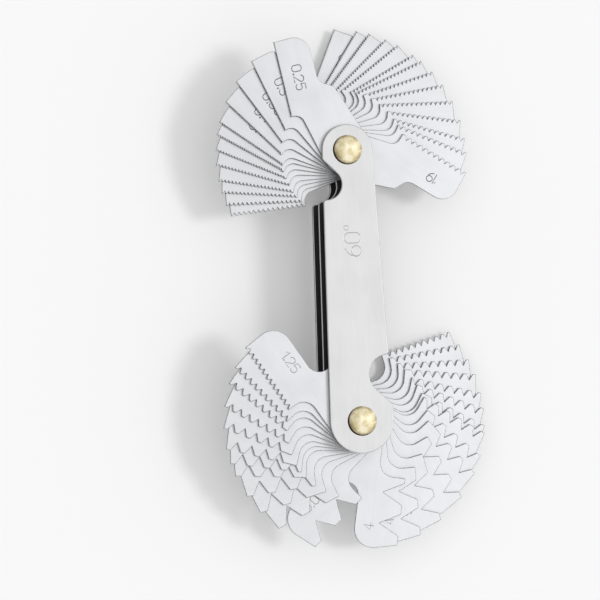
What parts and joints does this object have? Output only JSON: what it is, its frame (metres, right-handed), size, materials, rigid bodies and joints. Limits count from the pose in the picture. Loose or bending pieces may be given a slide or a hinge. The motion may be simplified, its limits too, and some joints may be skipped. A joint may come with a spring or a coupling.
{
  "type": "thread pitch gauge",
  "caption": "Folding screw pitch gauge: thin toothed metric and Whitworth leaves that swing out of a riveted three-plate steel handle at both ends.",
  "frame": {"origin": "centre of the large-end rivet's back head, on the surface that the gauge lies on", "axes": "+Z out of the front plate, +Y along the handle from the large end to the small end, +X to the right seen from the front"},
  "size_m": [0.0559, 0.1076, 0.0156],
  "materials": {
    "handle_steel": "satin, lengthwise grain",
    "leaf_steel": "satin, fine grain",
    "rivet_brass": "polished"
  },
  "bodies": {
    "handle": {"front_plate": "handle_steel", "middle_plate": "handle_steel", "back_plate": "handle_steel", "small_end_rivet": "rivet_brass", "large_end_rivet": "rivet_brass"},
    "metric_leaf_0_25": {"metric_leaf_0_25": "leaf_steel"},
    "metric_leaf_0_3": {"metric_leaf_0_3": "leaf_steel"},
    "metric_leaf_0_35": {"metric_leaf_0_35": "leaf_steel"},
    "metric_leaf_0_4": {"metric_leaf_0_4": "leaf_steel"},
    "metric_leaf_0_45": {"metric_leaf_0_45": "leaf_steel"},
    "metric_leaf_0_5": {"metric_leaf_0_5": "leaf_steel"},
    "metric_leaf_0_6": {"metric_leaf_0_6": "leaf_steel"},
    "metric_leaf_0_7": {"metric_leaf_0_7": "leaf_steel"},
    "metric_leaf_0_75": {"metric_leaf_0_75": "leaf_steel"},
    "metric_leaf_0_8": {"metric_leaf_0_8": "leaf_steel"},
    "metric_leaf_0_9": {"metric_leaf_0_9": "leaf_steel"},
    "metric_leaf_1_0": {"metric_leaf_1_0": "leaf_steel"},
    "metric_leaf_1_25": {"metric_leaf_1_25": "leaf_steel"},
    "metric_leaf_1_5": {"metric_leaf_1_5": "leaf_steel"},
    "metric_leaf_1_75": {"metric_leaf_1_75": "leaf_steel"},
    "metric_leaf_2_0": {"metric_leaf_2_0": "leaf_steel"},
    "metric_leaf_2_5": {"metric_leaf_2_5": "leaf_steel"},
    "metric_leaf_3_0": {"metric_leaf_3_0": "leaf_steel"},
    "metric_leaf_3_5": {"metric_leaf_3_5": "leaf_steel"},
    "metric_leaf_4_0": {"metric_leaf_4_0": "leaf_steel"},
    "metric_leaf_4_5": {"metric_leaf_4_5": "leaf_steel"},
    "metric_leaf_5_0": {"metric_leaf_5_0": "leaf_steel"},
    "metric_leaf_5_5": {"metric_leaf_5_5": "leaf_steel"},
    "metric_leaf_6_0": {"metric_leaf_6_0": "leaf_steel"},
    "whitworth_leaf_19": {"whitworth_leaf_19": "leaf_steel"},
    "whitworth_leaf_20": {"whitworth_leaf_20": "leaf_steel"},
    "whitworth_leaf_22": {"whitworth_leaf_22": "leaf_steel"},
    "whitworth_leaf_24": {"whitworth_leaf_24": "leaf_steel"},
    "whitworth_leaf_25": {"whitworth_leaf_25": "leaf_steel"},
    "whitworth_leaf_26": {"whitworth_leaf_26": "leaf_steel"},
    "whitworth_leaf_28": {"whitworth_leaf_28": "leaf_steel"},
    "whitworth_leaf_30": {"whitworth_leaf_30": "leaf_steel"},
    "whitworth_leaf_32": {"whitworth_leaf_32": "leaf_steel"},
    "whitworth_leaf_36": {"whitworth_leaf_36": "leaf_steel"},
    "whitworth_leaf_40": {"whitworth_leaf_40": "leaf_steel"},
    "whitworth_leaf_48": {"whitworth_leaf_48": "leaf_steel"},
    "whitworth_leaf_60": {"whitworth_leaf_60": "leaf_steel"},
    "whitworth_leaf_62": {"whitworth_leaf_62": "leaf_steel"},
    "whitworth_leaf_4": {"whitworth_leaf_4": "leaf_steel"},
    "whitworth_leaf_4_5": {"whitworth_leaf_4_5": "leaf_steel"},
    "whitworth_leaf_5": {"whitworth_leaf_5": "leaf_steel"},
    "whitworth_leaf_6": {"whitworth_leaf_6": "leaf_steel"},
    "whitworth_leaf_7": {"whitworth_leaf_7": "leaf_steel"},
    "whitworth_leaf_8": {"whitworth_leaf_8": "leaf_steel"},
    "whitworth_leaf_9": {"whitworth_leaf_9": "leaf_steel"},
    "whitworth_leaf_10": {"whitworth_leaf_10": "leaf_steel"},
    "whitworth_leaf_11": {"whitworth_leaf_11": "leaf_steel"},
    "whitworth_leaf_12": {"whitworth_leaf_12": "leaf_steel"},
    "whitworth_leaf_13": {"whitworth_leaf_13": "leaf_steel"},
    "whitworth_leaf_14": {"whitworth_leaf_14": "leaf_steel"},
    "whitworth_leaf_16": {"whitworth_leaf_16": "leaf_steel"},
    "whitworth_leaf_18": {"whitworth_leaf_18": "leaf_steel"}
  },
  "joints": [
    {"name": "metric_leaf_0_25_swing", "type": "hinge", "parent": "handle", "child": "metric_leaf_0_25", "pos_m": [0, 0.055, 0], "axis": [0, 0, 1], "range_deg": [-31.7, 148.3]},
    {"name": "metric_leaf_0_3_swing", "type": "hinge", "parent": "handle", "child": "metric_leaf_0_3", "pos_m": [0, 0.055, 0], "axis": [0, 0, 1], "range_deg": [-44.6, 135.4]},
    {"name": "metric_leaf_0_35_swing", "type": "hinge", "parent": "handle", "child": "metric_leaf_0_35", "pos_m": [0, 0.055, 0], "axis": [0, 0, 1], "range_deg": [-55.7, 124.3]},
    {"name": "metric_leaf_0_4_swing", "type": "hinge", "parent": "handle", "child": "metric_leaf_0_4", "pos_m": [0, 0.055, 0], "axis": [0, 0, 1], "range_deg": [-65.7, 114.3]},
    {"name": "metric_leaf_0_45_swing", "type": "hinge", "parent": "handle", "child": "metric_leaf_0_45", "pos_m": [0, 0.055, 0], "axis": [0, 0, 1], "range_deg": [-74.8, 105.2]},
    {"name": "metric_leaf_0_5_swing", "type": "hinge", "parent": "handle", "child": "metric_leaf_0_5", "pos_m": [0, 0.055, 0], "axis": [0, 0, 1], "range_deg": [-80.3, 99.7]},
    {"name": "metric_leaf_0_6_swing", "type": "hinge", "parent": "handle", "child": "metric_leaf_0_6", "pos_m": [0, 0.055, 0], "axis": [0, 0, 1], "range_deg": [-86.9, 93.1]},
    {"name": "metric_leaf_0_7_swing", "type": "hinge", "parent": "handle", "child": "metric_leaf_0_7", "pos_m": [0, 0.055, 0], "axis": [0, 0, 1], "range_deg": [-93.3, 86.7]},
    {"name": "metric_leaf_0_75_swing", "type": "hinge", "parent": "handle", "child": "metric_leaf_0_75", "pos_m": [0, 0.055, 0], "axis": [0, 0, 1], "range_deg": [-100.2, 79.8]},
    {"name": "metric_leaf_0_8_swing", "type": "hinge", "parent": "handle", "child": "metric_leaf_0_8", "pos_m": [0, 0.055, 0], "axis": [0, 0, 1], "range_deg": [-105.6, 74.4]},
    {"name": "metric_leaf_0_9_swing", "type": "hinge", "parent": "handle", "child": "metric_leaf_0_9", "pos_m": [0, 0.055, 0], "axis": [0, 0, 1], "range_deg": [-111.3, 68.7]},
    {"name": "metric_leaf_1_0_swing", "type": "hinge", "parent": "handle", "child": "metric_leaf_1_0", "pos_m": [0, 0.055, 0], "axis": [0, 0, 1], "range_deg": [-116.2, 63.8]},
    {"name": "metric_leaf_1_25_swing", "type": "hinge", "parent": "handle", "child": "metric_leaf_1_25", "pos_m": [0, 0, 0], "axis": [0, 0, -1], "range_deg": [-126.6, 53.4]},
    {"name": "metric_leaf_1_5_swing", "type": "hinge", "parent": "handle", "child": "metric_leaf_1_5", "pos_m": [0, 0, 0], "axis": [0, 0, -1], "range_deg": [-117.8, 62.2]},
    {"name": "metric_leaf_1_75_swing", "type": "hinge", "parent": "handle", "child": "metric_leaf_1_75", "pos_m": [0, 0, 0], "axis": [0, 0, -1], "range_deg": [-111.1, 68.9]},
    {"name": "metric_leaf_2_0_swing", "type": "hinge", "parent": "handle", "child": "metric_leaf_2_0", "pos_m": [0, 0, 0], "axis": [0, 0, -1], "range_deg": [-101.9, 78.1]},
    {"name": "metric_leaf_2_5_swing", "type": "hinge", "parent": "handle", "child": "metric_leaf_2_5", "pos_m": [0, 0, 0], "axis": [0, 0, -1], "range_deg": [-93.6, 86.4]},
    {"name": "metric_leaf_3_0_swing", "type": "hinge", "parent": "handle", "child": "metric_leaf_3_0", "pos_m": [0, 0, 0], "axis": [0, 0, -1], "range_deg": [-85.4, 94.6]},
    {"name": "metric_leaf_3_5_swing", "type": "hinge", "parent": "handle", "child": "metric_leaf_3_5", "pos_m": [0, 0, 0], "axis": [0, 0, -1], "range_deg": [-79.2, 100.8]},
    {"name": "metric_leaf_4_0_swing", "type": "hinge", "parent": "handle", "child": "metric_leaf_4_0", "pos_m": [0, 0, 0], "axis": [0, 0, -1], "range_deg": [-73.6, 106.4]},
    {"name": "metric_leaf_4_5_swing", "type": "hinge", "parent": "handle", "child": "metric_leaf_4_5", "pos_m": [0, 0, 0], "axis": [0, 0, -1], "range_deg": [-63.7, 116.3]},
    {"name": "metric_leaf_5_0_swing", "type": "hinge", "parent": "handle", "child": "metric_leaf_5_0", "pos_m": [0, 0, 0], "axis": [0, 0, -1], "range_deg": [-54.7, 125.3]},
    {"name": "metric_leaf_5_5_swing", "type": "hinge", "parent": "handle", "child": "metric_leaf_5_5", "pos_m": [0, 0, 0], "axis": [0, 0, -1], "range_deg": [-44.3, 135.7]},
    {"name": "metric_leaf_6_0_swing", "type": "hinge", "parent": "handle", "child": "metric_leaf_6_0", "pos_m": [0, 0, 0], "axis": [0, 0, -1], "range_deg": [-26.5, 153.5]},
    {"name": "whitworth_leaf_19_swing", "type": "hinge", "parent": "handle", "child": "whitworth_leaf_19", "pos_m": [0, 0.055, 0], "axis": [0, 0, -1], "range_deg": [-102.5, 77.5]},
    {"name": "whitworth_leaf_20_swing", "type": "hinge", "parent": "handle", "child": "whitworth_leaf_20", "pos_m": [0, 0.055, 0], "axis": [0, 0, -1], "range_deg": [-93.3, 86.7]},
    {"name": "whitworth_leaf_22_swing", "type": "hinge", "parent": "handle", "child": "whitworth_leaf_22", "pos_m": [0, 0.055, 0], "axis": [0, 0, -1], "range_deg": [-86.7, 93.3]},
    {"name": "whitworth_leaf_24_swing", "type": "hinge", "parent": "handle", "child": "whitworth_leaf_24", "pos_m": [0, 0.055, 0], "axis": [0, 0, -1], "range_deg": [-78.1, 101.9]},
    {"name": "whitworth_leaf_25_swing", "type": "hinge", "parent": "handle", "child": "whitworth_leaf_25", "pos_m": [0, 0.055, 0], "axis": [0, 0, -1], "range_deg": [-68.7, 111.3]},
    {"name": "whitworth_leaf_26_swing", "type": "hinge", "parent": "handle", "child": "whitworth_leaf_26", "pos_m": [0, 0.055, 0], "axis": [0, 0, -1], "range_deg": [-60, 120]},
    {"name": "whitworth_leaf_28_swing", "type": "hinge", "parent": "handle", "child": "whitworth_leaf_28", "pos_m": [0, 0.055, 0], "axis": [0, 0, -1], "range_deg": [-52.4, 127.6]},
    {"name": "whitworth_leaf_30_swing", "type": "hinge", "parent": "handle", "child": "whitworth_leaf_30", "pos_m": [0, 0.055, 0], "axis": [0, 0, -1], "range_deg": [-45.4, 134.6]},
    {"name": "whitworth_leaf_32_swing", "type": "hinge", "parent": "handle", "child": "whitworth_leaf_32", "pos_m": [0, 0.055, 0], "axis": [0, 0, -1], "range_deg": [-40.8, 139.2]},
    {"name": "whitworth_leaf_36_swing", "type": "hinge", "parent": "handle", "child": "whitworth_leaf_36", "pos_m": [0, 0.055, 0], "axis": [0, 0, -1], "range_deg": [-32.5, 147.5]},
    {"name": "whitworth_leaf_40_swing", "type": "hinge", "parent": "handle", "child": "whitworth_leaf_40", "pos_m": [0, 0.055, 0], "axis": [0, 0, -1], "range_deg": [-26.4, 153.6]},
    {"name": "whitworth_leaf_48_swing", "type": "hinge", "parent": "handle", "child": "whitworth_leaf_48", "pos_m": [0, 0.055, 0], "axis": [0, 0, -1], "range_deg": [-18.6, 161.4]},
    {"name": "whitworth_leaf_60_swing", "type": "hinge", "parent": "handle", "child": "whitworth_leaf_60", "pos_m": [0, 0.055, 0], "axis": [0, 0, -1], "range_deg": [-12.6, 167.4]},
    {"name": "whitworth_leaf_62_swing", "type": "hinge", "parent": "handle", "child": "whitworth_leaf_62", "pos_m": [0, 0.055, 0], "axis": [0, 0, -1], "range_deg": [-2.4, 177.6]},
    {"name": "whitworth_leaf_4_swing", "type": "hinge", "parent": "handle", "child": "whitworth_leaf_4", "pos_m": [0, 0, 0], "axis": [0, 0, 1], "range_deg": [-10.6, 169.4]},
    {"name": "whitworth_leaf_4_5_swing", "type": "hinge", "parent": "handle", "child": "whitworth_leaf_4_5", "pos_m": [0, 0, 0], "axis": [0, 0, 1], "range_deg": [-22.3, 157.7]},
    {"name": "whitworth_leaf_5_swing", "type": "hinge", "parent": "handle", "child": "whitworth_leaf_5", "pos_m": [0, 0, 0], "axis": [0, 0, 1], "range_deg": [-33.8, 146.2]},
    {"name": "whitworth_leaf_6_swing", "type": "hinge", "parent": "handle", "child": "whitworth_leaf_6", "pos_m": [0, 0, 0], "axis": [0, 0, 1], "range_deg": [-47.5, 132.5]},
    {"name": "whitworth_leaf_7_swing", "type": "hinge", "parent": "handle", "child": "whitworth_leaf_7", "pos_m": [0, 0, 0], "axis": [0, 0, 1], "range_deg": [-59.5, 120.5]},
    {"name": "whitworth_leaf_8_swing", "type": "hinge", "parent": "handle", "child": "whitworth_leaf_8", "pos_m": [0, 0, 0], "axis": [0, 0, 1], "range_deg": [-67.5, 112.5]},
    {"name": "whitworth_leaf_9_swing", "type": "hinge", "parent": "handle", "child": "whitworth_leaf_9", "pos_m": [0, 0, 0], "axis": [0, 0, 1], "range_deg": [-77.5, 102.5]},
    {"name": "whitworth_leaf_10_swing", "type": "hinge", "parent": "handle", "child": "whitworth_leaf_10", "pos_m": [0, 0, 0], "axis": [0, 0, 1], "range_deg": [-80.9, 99.1]},
    {"name": "whitworth_leaf_11_swing", "type": "hinge", "parent": "handle", "child": "whitworth_leaf_11", "pos_m": [0, 0, 0], "axis": [0, 0, 1], "range_deg": [-88.5, 91.5]},
    {"name": "whitworth_leaf_12_swing", "type": "hinge", "parent": "handle", "child": "whitworth_leaf_12", "pos_m": [0, 0, 0], "axis": [0, 0, 1], "range_deg": [-95.5, 84.5]},
    {"name": "whitworth_leaf_13_swing", "type": "hinge", "parent": "handle", "child": "whitworth_leaf_13", "pos_m": [0, 0, 0], "axis": [0, 0, 1], "range_deg": [-104, 76]},
    {"name": "whitworth_leaf_14_swing", "type": "hinge", "parent": "handle", "child": "whitworth_leaf_14", "pos_m": [0, 0, 0], "axis": [0, 0, 1], "range_deg": [-111.2, 68.8]},
    {"name": "whitworth_leaf_16_swing", "type": "hinge", "parent": "handle", "child": "whitworth_leaf_16", "pos_m": [0, 0, 0], "axis": [0, 0, 1], "range_deg": [-119, 61]},
    {"name": "whitworth_leaf_18_swing", "type": "hinge", "parent": "handle", "child": "whitworth_leaf_18", "pos_m": [0, 0, 0], "axis": [0, 0, 1], "range_deg": [-126.1, 53.9]}
  ]
}
